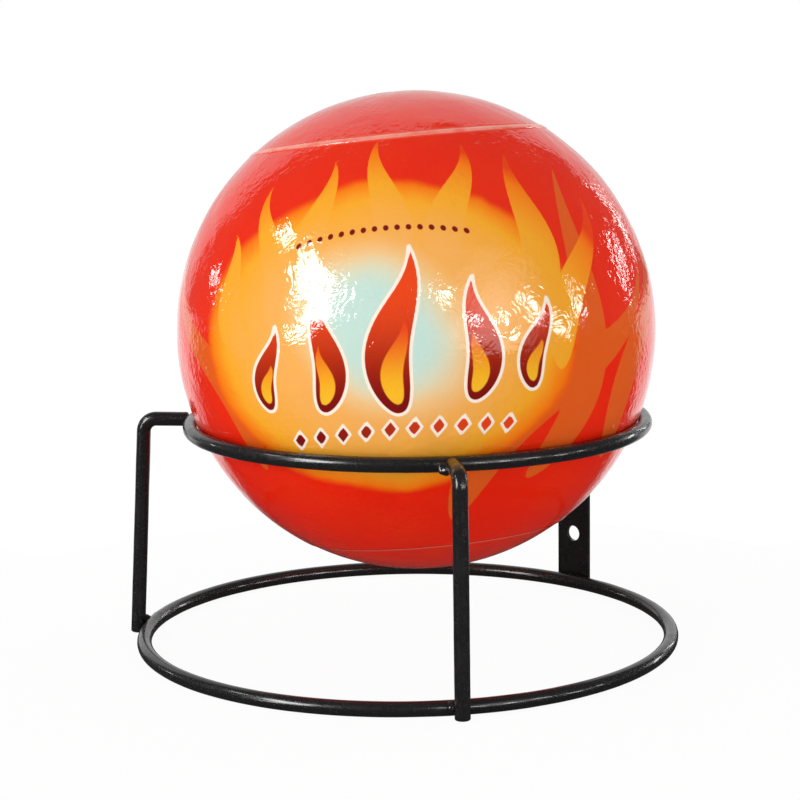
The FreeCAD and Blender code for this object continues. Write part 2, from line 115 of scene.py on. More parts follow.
class PrintColours(PropertyGroup):
    ground: colour("Ground", "Red of the film", (236, 38, 14))
    # Painted light: the lower part of the film gets a brighter red to make up for the shade that falls
    # there
    ground_low_painted_lighter: colour("Lower ground", "Red of the film's lower part", (240, 30, 6))
    ember: colour("Ember", "Edge of the glow", (242, 66, 14))
    orange: colour("Orange", "Outer part of the glow", (252, 118, 6))
    amber: colour("Amber", "Middle part of the glow", (250, 170, 40))
    peach: colour("Peach", "Inner part of the glow", (248, 176, 88))
    cream: colour("Cream", "Round the middle of the glow", (238, 216, 168))
    pale_middle: colour("Pale middle", "Middle of the glow", (198, 226, 214))
    swoosh: colour("Swoosh", "Broad flames on the ground", (228, 100, 30))
    flame_dark: colour("Dark flame", "Foot of the outlined flames", (128, 14, 14))
    flame_bright: colour("Bright flame", "Tip of the outlined flames", (236, 70, 20))
    core: colour("Flame core", "Middle of the outlined flames", (252, 190, 40))
    outline: colour("Outline", "Outline of the flames and lozenges", (255, 240, 222))
    hem: colour("Hem", "Pale folded hem", (250, 160, 140))


class StandSizes(PropertyGroup):
    wire: length("Bar diameter", "All round bars of the stand", 0.0046)
    seat_x: length("Seat ring X", "Middle of the seat ring", 0.0026)
    seat_y: length("Seat ring Y", "Middle of the seat ring", 0.003)
    seat_z: length("Seat ring Z", "Middle of the seat ring's bar", 0.0706)
    seat_ring: length("Seat ring", "Radius to the middle of the bar", 0.0717179)
    base_ring: length("Base ring", "Radius to the middle of the bar", 0.0841179)
    weld_gap: length("Weld gap", "Between bars at a weld", 0.00005)
    bend: length("Bend radius", "Middle of the bar at a leg's bend", 0.0042)
    left_angle: angle("Left leg", "Foot of the left leg round the base ring", 214.3)
    left_lean: angle("Left lean", "Lean of the left leg", 3.5)
    right_angle: angle("Right leg", "Foot of the right leg round the base ring", 322.1)
    right_lean: angle("Right lean", "Lean of the right leg", 0.5)
    bead: length("Weld bead", "Radius of the weld beads", 0.0025)
    bead_drop: length("Bead drop", "Beads at the legs' tops, below the bar's middle", 0.001)
    ripple: length("Paint ripple", "Unevenness of the painted bar", 0.00003)


class StandColours(PropertyGroup):
    paint: colour("Paint", "Black gloss paint", (29, 28, 29))
    gloss: amount("Paint roughness", "Roughness of the paint", 0.26)


class InsideColours(PropertyGroup):
    foam: colour("Foam", "White bead foam", (240, 240, 236))
    tape: colour("Tape", "Cloth tape over the seam", (196, 176, 140))
    fuse: colour("Fuse", "Green wound fuse", (58, 104, 62))
    card: colour("Card", "Wound card tube", (170, 134, 92))
    plug: colour("Plug", "Pressed clay plugs", (168, 150, 132))
    powder: colour("Powder", "Dry extinguishing powder", (226, 224, 206))
    charge: colour("Charge", "Grey charge powder", (84, 82, 80))


class StageLevels(PropertyGroup):
    lens: FloatProperty(
        name="Lens", description="Focal length for a 36 mm sensor, in mm", default=101.64)
    world_light: amount("World light", "Level of the soft light from all round", 0.66)
    front_room: amount("Front room", "What gloss sees on the camera's side", 0.13)
    gleams: amount("Gleams", "Level of the brightest windows that gloss mirrors", 24.0)
    window: amount("Left lamp", "Power of the lamp on the left, in watts", 4.6)
    strip: amount("Right lamp", "Power of the strip lamp on the right, in watts", 2.6)
    fill: amount("Front lamp", "Power of the small lamp on the right in front, in watts", 1.8)
    above: amount("Upper lamp", "Power of the wide lamp above, in watts", 0.8)
    floor: length("Floor", "Half the floor's width", 3.0)


# Grids and pieces

def grid_faces(rows, columns, close_rows=False):
    """Corners of the quads between closed rows of points, counted along a row, row by row."""
    row = np.arange(rows if close_rows else rows - 1)
    row, column = np.meshgrid(row, np.arange(columns), indexing="ij")
    below, after = (row + 1) % rows, (column + 1) % columns
    corners = [row * columns + column, row * columns + after,
               below * columns + after, below * columns + column]
    return np.stack(corners, -1).reshape(-1, 4)


def fan_faces(ring, middle, inwards):
    """Triangles from a ring of points to one point in its middle."""
    following = np.roll(ring, -1)
    pair = (following, ring) if inwards else (ring, following)
    return np.stack([*pair, np.full(len(ring), middle)], -1)


def closed_tube(rows, columns, inwards=False):
    """Faces of a tube of closed rows whose ends meet in two more points, added after the rows."""
    first, count = np.arange(columns), rows * columns
    grid = grid_faces(rows, columns)
    return [grid if inwards else grid[:, ::-1],
            fan_faces(first, count, inwards),
            fan_faces(first + count - columns, count + 1, not inwards)]


def new_piece(name, points, faces, material, replaced, marks=None):
    """Put points and faces in a mesh at the origin, riding on the ball's one body.

    marks are attributes, one number for each point, that the material reads.
    """
    mesh = bpy.data.meshes.new(name)
    corners = [face for part in faces for face in part.tolist()]
    mesh.from_pydata(points.reshape(-1, 3).tolist(), [], corners)
    mesh.polygons.foreach_set("use_smooth", np.ones(len(mesh.polygons), bool))
    for mark, numbers in (marks or {}).items():
        layer = mesh.attributes.new(mark, "FLOAT", "POINT")
        layer.data.foreach_set("value", np.ascontiguousarray(numbers, np.float32).ravel())
    mesh.materials.append(material)
    mesh.update()
    if mesh.validate():
        raise RuntimeError(f"{name} had faces that are not valid")
    piece = bpy.data.objects.new(name, mesh)
    bpy.context.scene.collection.objects.link(piece)
    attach(piece, "root")
    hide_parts(*replaced)


def paint_node(name, material):
    """Give a solid that stays in the scene its material."""
    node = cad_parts[name]
    if not node.material_slots:
        node.data.materials.append(material)
    node.material_slots[0].material = material


def ripples(points, shortest, longest, count, seed):
    """Smooth unevenness from -1 to 1: a sum of sine waves with seeded directions and lengths."""
    random = np.random.default_rng(seed)
    directions = random.normal(size=(count, 3))
    directions /= np.linalg.norm(directions, axis=1, keepdims=True)
    waves = directions * (2 * np.pi / random.uniform(shortest, longest, count))[:, None]
    phases = random.uniform(0, 2 * np.pi, count)
    total = np.zeros(points.shape[:-1])
    for wave, phase in zip(waves, phases):
        total += np.sin(points @ wave + phase)
    return np.clip(total / math.sqrt(count / 2) / 2, -1, 1)


def ball_place(sizes):
    """The ball's frame: its middle, and its axes as columns, the pole last."""
    lean = Vector((-math.sin(sizes.tilt_towards), math.cos(sizes.tilt_towards), 0))
    turned = np.array(Matrix.Rotation(sizes.tilt, 3, lean))
    return np.array([sizes.centre_x, sizes.centre_y, sizes.centre_z]), turned


# Materials

class Finish:
    """A material, or the world, whose nodes are added one call at a time."""

    def __init__(self, name, kind="materials"):
        self.material = getattr(bpy.data, kind).new(name)
        self.material.use_nodes = True
        self.tree = self.material.node_tree
        self.tree.nodes.clear()
        self.coordinates = None

    def node(self, kind, inputs=(), **settings):
        made = self.tree.nodes.new(kind)
        for key, setting in settings.items():
            setattr(made, key, setting)
        for key, source in dict(inputs).items():
            self.feed(made.inputs[key], source)
        return made

    def feed(self, socket, source):
        if isinstance(source, bpy.types.NodeSocket):
            self.tree.links.new(source, socket)
        elif socket.type == "RGBA" and len(source) == 3:
            socket.default_value = (*source, 1)
        else:
            socket.default_value = source

    def place(self, stretch=None):
        """Object coordinates in metres, stretched if asked."""
        if self.coordinates is None:
            self.coordinates = self.node("ShaderNodeTexCoord").outputs["Object"]
        if stretch is None:
            return self.coordinates
        inputs = {"Vector": self.coordinates, "Scale": stretch}
        return self.node("ShaderNodeMapping", inputs).outputs[0]

    def mark(self, name):
        return self.node("ShaderNodeAttribute", attribute_name=name).outputs["Fac"]

    def math(self, operation, first, second=0.0, third=None):
        inputs = {0: first, 1: second}
        if third is not None:
            inputs[2] = third
        return self.node("ShaderNodeMath", inputs, operation=operation).outputs[0]

    def vector(self, operation, *vectors):
        inputs = dict(enumerate(vectors))
        return self.node("ShaderNodeVectorMath", inputs, operation=operation).outputs

    def between(self, source, low, high, to_low=0.0, to_high=1.0, kind="SMOOTHSTEP"):
        """A number brought from low..high to to_low..to_high and held there."""
        inputs = {"Value": source, "From Min": low, "From Max": high,
                  "To Min": to_low, "To Max": to_high}
        return self.node("ShaderNodeMapRange", inputs, interpolation_type=kind).outputs[0]

    def mix(self, factor, first, second):
        """The first colour where factor is 0, and the second where it is 1."""
        inputs = {0: factor, 6: first, 7: second}
        return self.node("ShaderNodeMix", inputs, data_type="RGBA").outputs[2]

    def ramp(self, factor, stops):
        """Colours at places from 0 to 1, blended between."""
        made = self.node("ShaderNodeValToRGB", {0: factor})
        band = made.color_ramp
        while len(band.elements) < len(stops):
            band.elements.new(0.5)
        for element, (place, shade) in zip(band.elements, stops):
            element.position = place
            element.color = (*shade, 1)
        return made.outputs[0]

    def noise(self, size, detail=2.0, roughness=0.5, warp=0.0):
        """Soft noise from 0 to 1 whose lumps are about size metres across."""
        inputs = {"Vector": self.place(), "Scale": 1 / size, "Detail": detail,
                  "Roughness": roughness, "Distortion": warp}
        return self.node("ShaderNodeTexNoise", inputs).outputs[0]

    def cells(self, size, feature="F1"):
        """Distance in cells about size metres across, to their middles or edges."""
        inputs = {"Vector": self.place(), "Scale": 1 / size}
        return self.node("ShaderNodeTexVoronoi", inputs, feature=feature).outputs["Distance"]

    def wave(self, vector, scale, distortion):
        """Soft bands across a vector, from 0 to 1."""
        inputs = {"Vector": vector, "Scale": scale, "Distortion": distortion}
        return self.node("ShaderNodeTexWave", inputs, bands_direction="DIAGONAL").outputs["Fac"]

    def bump(self, height, depth, under=None):
        """Relief of depth metres where height goes from 0 to 1."""
        inputs = {"Height": height, "Distance": depth, "Strength": 1.0}
        if under is not None:
            inputs["Normal"] = under
        return self.node("ShaderNodeBump", inputs).outputs[0]

    def surface(self, **inputs):
        """End the material in a Principled shader with these inputs, and give the material."""
        named = {key.replace("_", " ").title().replace("Ior", "IOR"): source
                 for key, source in inputs.items()}
        shader = self.node("ShaderNodeBsdfPrincipled", named)
        output = self.node("ShaderNodeOutputMaterial")
        self.tree.links.new(shader.outputs[0], output.inputs[0])
        return self.material


def film_relief(finish):
    """Relief of shrunk film: broad lumps, folds, and patches of crumples and small facets."""
    broad = finish.noise(0.014, 1.0, 0.5, warp=0.6)
    folds = finish.math("SUBTRACT", finish.noise(0.007, 2.0, 0.5, warp=2.0), 0.5)
    folds = finish.math("ABSOLUTE", folds)
    patches = finish.between(finish.noise(0.024, 1.0), 0.42, 0.62, 0.12, 1.0)
    crumple = finish.math("MULTIPLY", finish.noise(0.0034, 2.0, 0.55, warp=1.4), patches)
    facets = finish.math("MULTIPLY", finish.cells(0.0019), patches)
    relief = None
    for height, depth in ((broad, 0.0004), (folds, 0.00016), (crumple, 0.00014), (facets, 0.0001)):
        relief = finish.bump(height, depth, relief)
    return relief


def dot_row(finish, first, last, step, level, sag):
    """Distance to the nearest dot of a row, in mm: hypot of the place beside it and above it.

    The row runs from first to last, a step apart, at level - sag * across squared.
    """
    across, height = finish.mark("across"), finish.mark("height")
    beside = finish.math("PINGPONG", finish.math("SUBTRACT", across, first), step / 2)
    outside = finish.math("MAXIMUM", finish.math("SUBTRACT", first, across),
                          finish.math("SUBTRACT", across, last))
    beside = finish.math("MAXIMUM", beside, outside)
    square = finish.math("MULTIPLY", across, across)
    above = finish.math("SUBTRACT", finish.math("MULTIPLY_ADD", square, sag, height), level)
    return finish.math("SQRT", finish.math("MULTIPLY_ADD", beside, beside,
                                           finish.math("MULTIPLY", above, above)))


def printed_film(colours):
    """Glossy shrink film with the print: a glow, flames, lozenges and a row of dots.

    The marks of the sleeve give how far each point is from the edge of a shape, in mm, less
    than 0 inside. Each shape is filled where its mark is below 0.
    """
    finish = Finish("printed_film")
    wander = finish.between(finish.noise(0.03, 3.0), 0.3, 0.7, -0.05, 0.05, "LINEAR")
    height = finish.mark("height")
    # Painted light: towards the bottom the red goes over to the brighter lower red, making up for the
    # shade that falls there
    ground = finish.mix(finish.between(height, -34, 4, 0, 1), colours.ground_low_painted_lighter, colours.ground)
    mottle = finish.between(finish.noise(0.022, 4.0, 0.6), 0.35, 0.7, 0, 0.2)
    ground = finish.mix(mottle, ground, colours.ember)
    swoosh_edge = finish.between(finish.mark("swoosh"), -0.2, 0.2, 0.9, 0)
    ground = finish.mix(swoosh_edge, ground, colours.swoosh)
    tongue = finish.between(finish.mark("tongue"), -0.2, 0.2, 1, 0)
    glow = finish.math("ADD", finish.mark("glow"), wander)
    lick = finish.math("MULTIPLY", tongue, finish.between(glow, -0.42, 0.5, 0.03, 0.40, "LINEAR"))
    glow = finish.math("MAXIMUM", finish.math("MULTIPLY_ADD", tongue, 0.07, glow), lick)
    glowing = finish.ramp(glow, [
        (0.00, colours.ember), (0.07, colours.orange), (0.24, colours.amber), (0.60, colours.peach),
    ])
    paint = finish.mix(finish.between(glow, -0.02, 0.10), ground, glowing)
    middle = finish.math("ADD", finish.mark("middle"), wander)
    paint = finish.mix(finish.between(middle, 0.0, 0.45, 0, 0.9), paint, colours.cream)
    paint = finish.mix(finish.between(middle, 0.22, 0.62, 0, 1), paint, colours.pale_middle)
    flame = finish.mark("outlined")
    shade = finish.mix(
        finish.between(height, -18, 16, 0, 1), colours.flame_dark, colours.flame_bright)
    paint = finish.mix(finish.between(flame, 0.55, 0.85, 1, 0), paint, colours.outline)
    paint = finish.mix(finish.between(flame, -0.4, -0.1, 1, 0), paint, shade)
    heart = finish.mix(
        finish.between(height, -16, 6, 0, 1), colours.core, colours.flame_bright)
    paint = finish.mix(finish.between(finish.mark("core"), -0.3, 0.15, 1, 0), paint, heart)
    dots = dot_row(finish, first=-27, last=27, step=3.6, level=34, sag=0.0045)
    dots = finish.between(dots, 0.75, 1.05, 1, 0)
    dots = finish.math("MULTIPLY", dots, finish.between(glow, 0.0, 0.05))
    paint = finish.mix(dots, paint, colours.flame_dark)
    lozenge = finish.mark("lozenge")
    along = finish.mix(
        finish.between(finish.mark("across"), -30, 32, 0, 1), colours.flame_dark,
        colours.flame_bright)
    paint = finish.mix(finish.between(lozenge, 0.35, 0.6, 1, 0), paint, colours.outline)
    paint = finish.mix(finish.between(lozenge, -0.45, -0.2, 1, 0), paint, along)
    hem = finish.math("MULTIPLY", finish.mark("hem"),
                      finish.between(finish.noise(0.006, 2.0), 0.3, 0.6, 0.45, 0.85))
    paint = finish.mix(hem, paint, colours.hem)
    rough = finish.between(finish.noise(0.01, 3.0), 0.3, 0.7, 0.05, 0.09)
    return finish.surface(base_color=paint, roughness=rough, ior=1.57, normal=film_relief(finish))


def cap_film(colours):
    """The plain red film over the poles, creased towards the middle."""
    finish = Finish("cap_film")
    mottle = finish.between(finish.noise(0.014, 4.0, 0.6), 0.35, 0.7, 0, 0.35)
    paint = finish.mix(mottle, colours.ground, colours.ember)
    rim = finish.between(finish.mark("rim"), 0.0, 1.0, 0.0, 0.5)
    paint = finish.mix(rim, paint, colours.hem)
    rough = finish.between(finish.noise(0.01, 3.0), 0.3, 0.7, 0.06, 0.11)
    return finish.surface(base_color=paint, roughness=rough, ior=1.57, normal=film_relief(finish))


def black_paint(colours, name="black_paint", lumps=0.000014):
    """Black gloss paint with slight runs, dust and thin spots."""
    finish = Finish(name)
    dust = finish.between(finish.noise(0.0009, 2.0), 0.62, 0.75, 0, 0.12)
    paint = finish.mix(dust, colours.paint, tint(58, 56, 55))
    rough = finish.between(
        finish.noise(0.004, 4.0, 0.6), 0.3, 0.7, colours.gloss * 0.8, colours.gloss * 1.35, "LINEAR")
    relief = finish.bump(finish.noise(0.0022, 3.0, 0.55), lumps)
    return finish.surface(
        base_color=paint, roughness=rough, ior=1.35, normal=relief,
        coat_weight=0.4, coat_roughness=0.06, coat_ior=1.5)


def foam_finish(colours):
    """White bead foam: pressed beads about 2 mm across with dark seams between."""
    finish = Finish("bead_foam")
    bead_size = 0.0021
    seams = finish.cells(bead_size, "DISTANCE_TO_EDGE")
    shade = finish.between(seams, 0.0, 0.12, 0.3, 0.0)
    paint = finish.mix(shade, colours.foam, tint(206, 206, 200))
    relief = finish.bump(finish.math("MULTIPLY", finish.cells(bead_size), -1.0), 0.00015)
    return finish.surface(
        base_color=paint, roughness=0.72, ior=1.4, normal=relief, subsurface_weight=0.1,
        subsurface_scale=0.001)


def woven_tape(colours):
    """Cloth tape with crossing threads under a dull film."""
    finish = Finish("seam_tape_cloth")
    threads = ((2600, 0, 0), (0, 0, 2600))
    weave = finish.math("MAXIMUM", *(finish.wave(finish.place(way), 0.3, 0.4) for way in threads))
    paint = finish.mix(finish.between(weave, 0.2, 0.9, 0, 0.45), colours.tape, tint(150, 128, 92))
    relief = finish.bump(weave, 0.00004)
    return finish.surface(base_color=paint, roughness=0.55, ior=1.45, normal=relief)


def wound_fuse(colours):
    """Fuse with thread wound round it under green lacquer."""
    finish = Finish("wound_fuse")
    turns = finish.wave(finish.place(), 420.0, 1.5)
    paint = finish.mix(finish.between(turns, 0.3, 0.8, 0, 0.6), colours.fuse, tint(34, 66, 40))
    relief = finish.bump(turns, 0.00008)
    return finish.surface(base_color=paint, roughness=0.42, ior=1.45, normal=relief)


def grained(name, shade, dark, size, depth, roughness):
    """Card, clay or powder: a mottled colour with a grain of that size and depth in metres."""
    finish = Finish(name)
    grain = finish.noise(size, 5.0, 0.65)
    cloud = finish.noise(size * 9, 3.0, 0.5)
    paint = finish.mix(finish.between(grain, 0.35, 0.7, 0, 0.5), shade, dark)
    paint = finish.mix(finish.between(cloud, 0.4, 0.7, 0, 0.25), paint, dark)
    relief = finish.bump(grain, depth)
    return finish.surface(base_color=paint, roughness=roughness, ior=1.45, normal=relief)


# The print, in mm round the ball and up it from its own equator

def taper(across, height, spine, halves):
    """Distance to the edge of a band along a spine whose half width changes, less inside.

    For each short run of the spine it is the distance to the run less the half width there,
    and the least of them all is kept.
    """
    nearest = np.full(across.shape, 1e3)
    for (x0, y0), (x1, y1), half0, half1 in zip(spine, spine[1:], halves, halves[1:]):
        along = (across - x0) * (x1 - x0) + (height - y0) * (y1 - y0)
        along = np.clip(along / ((x1 - x0) ** 2 + (y1 - y0) ** 2), 0, 1)
        away = np.hypot(across - x0 - along * (x1 - x0), height - y0 - along * (y1 - y0))
        nearest = np.minimum(nearest, away - half0 - along * (half1 - half0))
    return nearest


def flame_spine(foot, tip, bow, step):
    """An S from foot to tip: the straight line pushed aside by a sine wave of that bow."""
    step = step[:, None]
    foot, tip = np.array(foot, float), np.array(tip, float)
    side = np.array([-(tip - foot)[1], (tip - foot)[0]]) / np.linalg.norm(tip - foot)
    return foot + (tip - foot) * step + side * bow * np.sin(2 * np.pi * step * 0.86)


def flames(across, height, shapes, foot_place=0.0):
    """Distance to the nearest of some flames (foot, tip, bow, half width).

    The half width follows half a sine wave, sin(pi * (place along it) ** 0.6), that is widest
    at a third of the height and comes to nothing at the tip. It starts at foot_place: 0 for a
    pointed foot, a little more for a round one.
    """
    nearest = np.full(across.shape, 1e3)
    step = np.linspace(0, 1, 30) ** 1.6
    width = np.sin(np.pi * (foot_place + (1 - foot_place) * step) ** 0.6)
    for foot, tip, bow, half in shapes:
        spine = flame_spine(foot, tip, bow, step)
        nearest = np.minimum(nearest, taper(across, height, spine, half * width))
    return nearest


SWOOSHES = [
    ((16, -60), (94, 22), 9, 8), ((44, -46), (78, 48), -8, 7), ((82, -44), (104, 28), 7, 6.5),
    ((-52, -36), (-86, 32), -7, 5.5), ((-92, -38), (-104, 38), 7, 6),
]
TONGUES = [
    ((-46, 0), (-58, 36), 3.5, 5), ((-36, 8), (-42, 53), -4, 5), ((-20, 14), (-22, 60), 4, 5.5),
    ((-2, 18), (3, 68), -4.5, 6), ((20, 16), (32, 64), 4, 6), ((40, 4), (56, 56), -4.5, 6.5),
    ((52, -12), (74, 40), 4, 5.5),
]
OUTLINED_FLAMES = [
    ((-40, -15), (-36, 8), 1.8, 3.8), ((-21, -16), (-18, 16), -2.4, 4.9),
    ((1, -17), (6, 28), 3.2, 6.6), ((24, -16), (28, 17), -2.4, 5.1), ((42, -15), (47, 9), 1.8, 4.0),
]


def core_of(foot, tip, bow, half):
    """The bright core of an outlined flame: half as wide and a little over half as high."""
    low = (foot[0] * 0.98 + 0.02 * tip[0], foot[1] + 1.2)
    high = (0.45 * foot[0] + 0.55 * tip[0], 0.45 * foot[1] + 0.55 * tip[1])
    return low, high, 0.55 * bow, 0.5 * half


def lozenges(across, height):
    """Distance to the edge of the nearest lozenge of a row that bends up in its middle."""
    nearest = np.full(across.shape, 1e3)
    count, first, step = 10, -32, 7.4
    half_width, half_height, slant = 2.3, 2.9, 0.2
    for number in range(count):
        lift = 2.2 * math.cos((number - (count - 1) / 2) / 3.4)
        aside = np.abs(across - (first + number * step) - slant * (height + 25))
        above = np.abs(height + 27 - lift)
        nearest = np.minimum(nearest, (aside / half_width + above / half_height - 1) * 1.8)
    return nearest


def draw_print(across, height):
    """Marks of the print, one number for each point of the sleeve."""
    glow_reach = np.sqrt(((across + 2) / 63) ** 2 + ((height - 2) / 49) ** 2)
    middle_reach = np.sqrt(((across + 1 + 0.2 * height) / 31) ** 2 + ((height - 4) / 30) ** 2)
    round_foot = 0.05
    cores = [core_of(*flame) for flame in OUTLINED_FLAMES]
    return {
        "glow": 1 - glow_reach ** 1.4,
        "middle": 1 - middle_reach,
        "swoosh": flames(across, height, SWOOSHES),
        "tongue": flames(across, height, TONGUES),
        "outlined": flames(across, height, OUTLINED_FLAMES, round_foot),
        "core": flames(across, height, cores, round_foot),
        "lozenge": lozenges(across, height),
        "height": height,
        "across": across,
    }


# Pieces of the ball

def on_ball(place, radius, pole_angle, turn):
    """Points of a ball: radius, angle from its pole and turn round it, all arrays."""
    middle, axes = place
    local = np.stack([radius * np.sin(pole_angle) * np.cos(turn),
                      radius * np.sin(pole_angle) * np.sin(turn),
                      radius * np.cos(pole_angle)], -1)
    return local @ axes.T + middle


def sleeve_profile(sizes, rows, inner_rows):
    """The sleeve's closed section, up the outside, over the hem and down the inside.

    Gives pole angles and radii, how much of the hem is at each, and 1 for the outside.
    """
    top, bottom = sizes.top_edge, math.pi - sizes.bottom_edge
    fold = top + sizes.hem_width / sizes.radius
    outside = np.linspace(bottom, fold, rows)
    hem = np.array([fold - 0.0006, fold - 0.002, (fold + top) / 2, top + 0.002, top + 0.0006])
    rise = np.array([0.6, 1.0, 1.0, 1.0, 0.75]) * sizes.hem_rise
    inside = np.linspace(top, bottom, inner_rows)
    angles = np.concatenate([outside, hem, inside])
    radii = np.concatenate([
        np.full(rows, sizes.radius), sizes.radius + rise,
        np.full(inner_rows, sizes.radius - sizes.sleeve_wall)])
    hem_mark = np.concatenate([
        np.zeros(rows - 1), [0.4], np.ones(len(hem) + 1), np.zeros(inner_rows - 1)])
    outer = np.concatenate([np.ones(rows + len(hem)), np.zeros(inner_rows)])
    return angles, radii, hem_mark, outer


class BALL_OT_printed_sleeve(Operator):
    """Make the printed sleeve: its section turned round the ball, with shallow dents"""
    bl_idname = "ball.printed_sleeve"
    bl_label = "Printed sleeve"

    def execute(self, context):
        sizes, colours = context.scene.ball_sizes, context.scene.ball_print
        place = ball_place(sizes)
        rows, inner_rows, columns = 168, 20, 480
        angles, radii, hem_mark, outer = sleeve_profile(sizes, rows, inner_rows)
        turn = np.arange(columns) * 2 * np.pi / columns
        pole_angle, turn = np.meshgrid(angles, turn, indexing="ij")
        radius = radii[:, None] + np.zeros_like(turn)
        points = on_ball(place, radius, pole_angle, turn)
        dents = ripples(points, 0.012, 0.045, 28, 11) * 0.5 + 0.5
        edge = np.minimum(pole_angle - sizes.top_edge - 0.03,
                          math.pi - sizes.bottom_edge - pole_angle)
        dents *= outer[:, None] * np.clip(edge / 0.05, 0, 1)
        points = on_ball(place, radius - dents * sizes.dent_depth, pole_angle, turn)
        half = math.pi * sizes.radius / MM
        across = (turn - sizes.print_turn) * sizes.radius / MM
        across = (across + half / 2) % half - half / 2
        height = (math.pi / 2 - pole_angle) * sizes.radius / MM
        marks = draw_print(across, height)
        marks["hem"] = hem_mark[:, None] + np.zeros_like(turn)
        new_piece("printed_sleeve_film", points, [grid_faces(*turn.shape, close_rows=True)],
                  printed_film(colours), ["printed_sleeve"], marks)
        return {"FINISHED"}


class BALL_OT_cap_films(Operator):
    """Make the red films over the poles: thin caps with creases that run to the pole"""
    bl_idname = "ball.cap_films"
    bl_label = "Cap films"

    def execute(self, context):
        sizes, colours = context.scene.ball_sizes, context.scene.ball_print
        middle, axes = ball_place(sizes)
        material = cap_film(colours)
        rows, inner_rows, columns = 45, 11, 240
        inner = sizes.radius - sizes.sleeve_wall
        outer = inner + sizes.cap_wall
        for name, side, edge in (("top", 1, sizes.top_edge), ("bottom", -1, sizes.bottom_edge)):
            place = (middle, axes @ np.diag([1, side, side]))
            edge -= sizes.edge_gap / sizes.radius
            angles = np.concatenate([np.linspace(0, edge, rows + 1)[1:],
                                     np.linspace(edge, 0, inner_rows + 1)[:-1]])
            radii = np.concatenate([np.full(rows, outer), np.full(inner_rows, inner)])
            turn = np.arange(columns) * 2 * np.pi / columns
            pole_angle, turn = np.meshgrid(angles, turn, indexing="ij")
            outside = (np.arange(len(angles)) < rows)[:, None]
            creases = 0.5 + 0.5 * np.sin(23 * turn + 3 * np.sin(5 * turn) + 9 * pole_angle)
            reach = np.exp(-((pole_angle / edge - 0.12) / 0.22) ** 2)
            dip = outside * creases * reach * CREASE_DEPTH
            points = on_ball(place, radii[:, None] - dip, pole_angle, turn)
            poles = on_ball(place, np.array([outer - POLE_DIP, inner]), np.zeros(2), np.zeros(2))
            rim = np.clip((pole_angle - edge + 0.02) / 0.02, 0, 1) * outside
            points = np.concatenate([points.reshape(-1, 3), poles])
            faces = closed_tube(*turn.shape, inwards=True)
            new_piece(f"{name}_cap_skin", points, faces, material, [f"{name}_cap_film"],
                      {"rim": np.concatenate([rim.ravel(), [0, 0]])})
        return {"FINISHED"}


class BALL_OT_inside(Operator):
    """Give the foam, tape, fuses, tube, plugs and powder inside the ball their materials"""
    bl_idname = "ball.inside"
    bl_label = "Inside of the ball"

    def execute(self, context):
        colours = context.scene.ball_inside
        foam, fuse = foam_finish(colours), wound_fuse(colours)
        plug = grained("clay_plug", colours.plug, tint(122, 106, 92), 0.0006, 0.00005, 0.85)
        finishes = {
            "shell_lower": foam, "shell_upper": foam,
            "seam_tape": woven_tape(colours),
            "surface_fuse_right": fuse, "surface_fuse_back": fuse, "surface_fuse_left": fuse,
            "surface_fuse_front": fuse, "core_fuse": fuse,
            "charge_tube": grained("wound_card", colours.card, tint(134, 100, 64),
                                   0.0012, 0.00004, 0.8),
            "charge_plug_upper": plug, "charge_plug_lower": plug,
            "charge_powder": grained("charge_grains", colours.charge, tint(40, 40, 40),
                                     0.0005, 0.00012, 0.9),
            "powder_fill": grained("dry_powder", colours.powder, tint(200, 196, 172),
                                   0.0004, 0.00008, 0.95),
        }
        for name, material in finishes.items():
            paint_node(name, material)
        return {"FINISHED"}


# Pieces of the stand

def ring_piece(name, middle, ring_radius, sizes, material, joint_turn, seed):
    """A closed ring of bar: a circle carried round a circle, with the ridge of its butt joint."""
    rows, sides = 420, 36
    turn, around = np.meshgrid(np.arange(rows) * 2 * np.pi / rows,
                               np.arange(sides) * 2 * np.pi / sides, indexing="ij")
    away = (turn - joint_turn + np.pi) % (2 * np.pi) - np.pi
    ridge = np.exp(-(away * ring_radius / JOINT_WIDTH) ** 2) * JOINT_RISE
    spread = np.stack([ring_radius * np.cos(turn) + 0.002 * np.cos(around),
                       ring_radius * np.sin(turn) + 0.002 * np.sin(around), 0 * turn], -1)
    bar = sizes.wire / 2 + ripples(spread + middle, 0.006, 0.03, 16, seed) * sizes.ripple
    bar = bar + ridge * np.clip(1 + 1.5 * np.sin(around), 0, 1)
    out = ring_radius + bar * np.cos(around)
    points = np.stack([out * np.cos(turn), out * np.sin(turn), bar * np.sin(around)], -1) + middle
    faces = grid_faces(rows, sides, close_rows=True)[:, ::-1]
    new_piece(name + "_bar", points, [faces], material, [name])


class BALL_OT_rings(Operator):
    """Make the seat ring and the base ring, painted bar bent round and joined end to end"""
    bl_idname = "ball.rings"
    bl_label = "Rings"

    def execute(self, context):
        sizes = context.scene.ball_stand
        paint = black_paint(context.scene.ball_stand_colours)
        seat = np.array([sizes.seat_x, sizes.seat_y, sizes.seat_z])
        ring_piece("seat_ring", seat, sizes.seat_ring, sizes, paint, math.radians(217), 3)
        base = np.array([0, 0, sizes.wire / 2])
        ring_piece("base_ring", base, sizes.base_ring, sizes, paint, math.radians(209), 4)
        return {"FINISHED"}


